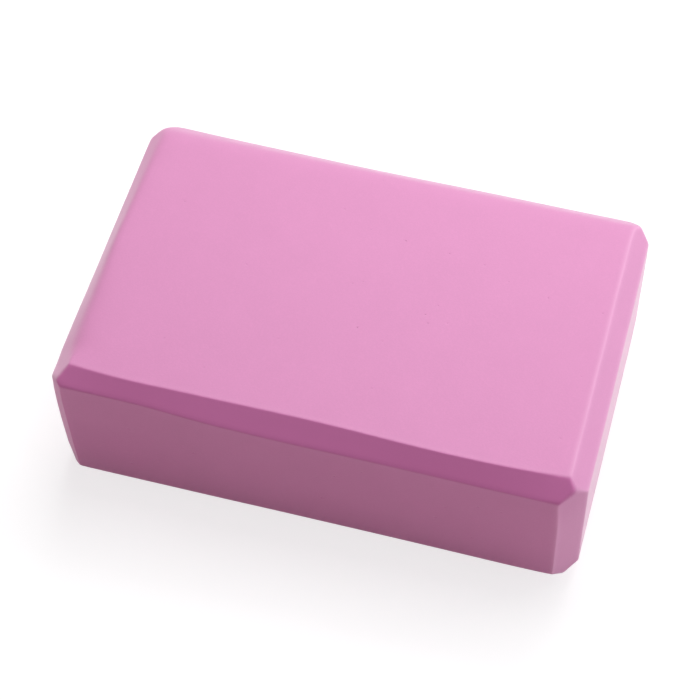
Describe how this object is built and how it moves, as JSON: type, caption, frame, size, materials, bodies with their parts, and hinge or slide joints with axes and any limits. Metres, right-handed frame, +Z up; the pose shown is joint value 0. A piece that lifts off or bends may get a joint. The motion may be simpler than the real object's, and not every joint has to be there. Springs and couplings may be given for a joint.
{
  "type": "yoga block",
  "caption": "Firm foam yoga block: a rectangular brick with bevelled edges and corners, stood or laid on any face as a hand, seat or back support.",
  "frame": {"origin": "middle of the large face that the block lies on", "axes": "+X along the length, +Y across the width, +Z up through the thickness"},
  "size_m": [0.23, 0.15, 0.073],
  "materials": {
    "eva_foam": "matte fine-cell closed-cell foam, pink, with a faint sheen"
  },
  "bodies": {
    "root": {"foam_block": "eva_foam"}
  },
  "joints": []
}
